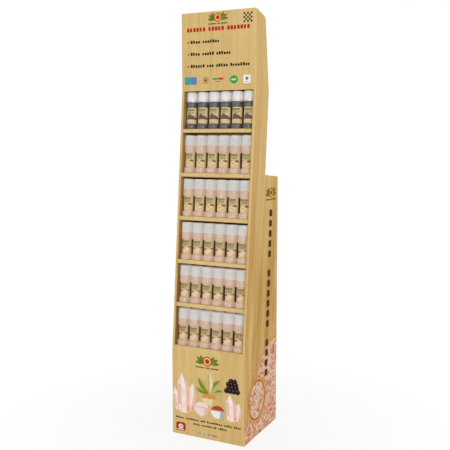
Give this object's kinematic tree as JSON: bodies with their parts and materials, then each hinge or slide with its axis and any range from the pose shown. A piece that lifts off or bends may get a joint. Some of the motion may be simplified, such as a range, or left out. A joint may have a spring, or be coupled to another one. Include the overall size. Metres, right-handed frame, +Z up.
{
  "type": "shipper display",
  "caption": "Folded corrugated floor display: square base, column of shelves leaning back and upright header, filled with rows of spice jars.",
  "frame": {"origin": "on the floor, in the middle of the square base", "axes": "+Z up, -Y to the front where the shelves open, +X to the right of someone who looks at the front"},
  "size_m": [0.32, 0.32, 1.6682],
  "materials": {
    "printed_board": "corrugated board with a matt print like pale vertical wood grain",
    "plain_board": "unprinted corrugated board",
    "salt_jar": "clear plastic jar full of pink salt, with a printed paper label",
    "pepper_jar": "clear plastic jar full of dark pepper, with a printed paper label",
    "salt_cap": "pale translucent plastic",
    "grinder_cap": "clear plastic over a white and silver grinder head"
  },
  "bodies": {
    "root": {"outer_wrap": "printed_board", "top_lid": "printed_board", "back_panel": "printed_board", "rear_cover": "printed_board", "base_tray": "plain_board", "base_riser": "plain_board", "shelf_1": "printed_board", "shelf_2": "printed_board", "shelf_3": "printed_board", "shelf_4": "printed_board", "shelf_5": "printed_board", "shelf_6": "printed_board", "jars_1": "salt_jar", "caps_1": "salt_cap", "jars_2": "salt_jar", "caps_2": "salt_cap", "jars_3": "salt_jar", "caps_3": "salt_cap", "jars_4": "salt_jar", "caps_4": "salt_cap", "jars_5": "salt_jar", "caps_5": "salt_cap", "jars_6": "pepper_jar", "caps_6": "grinder_cap"}
  },
  "joints": []
}
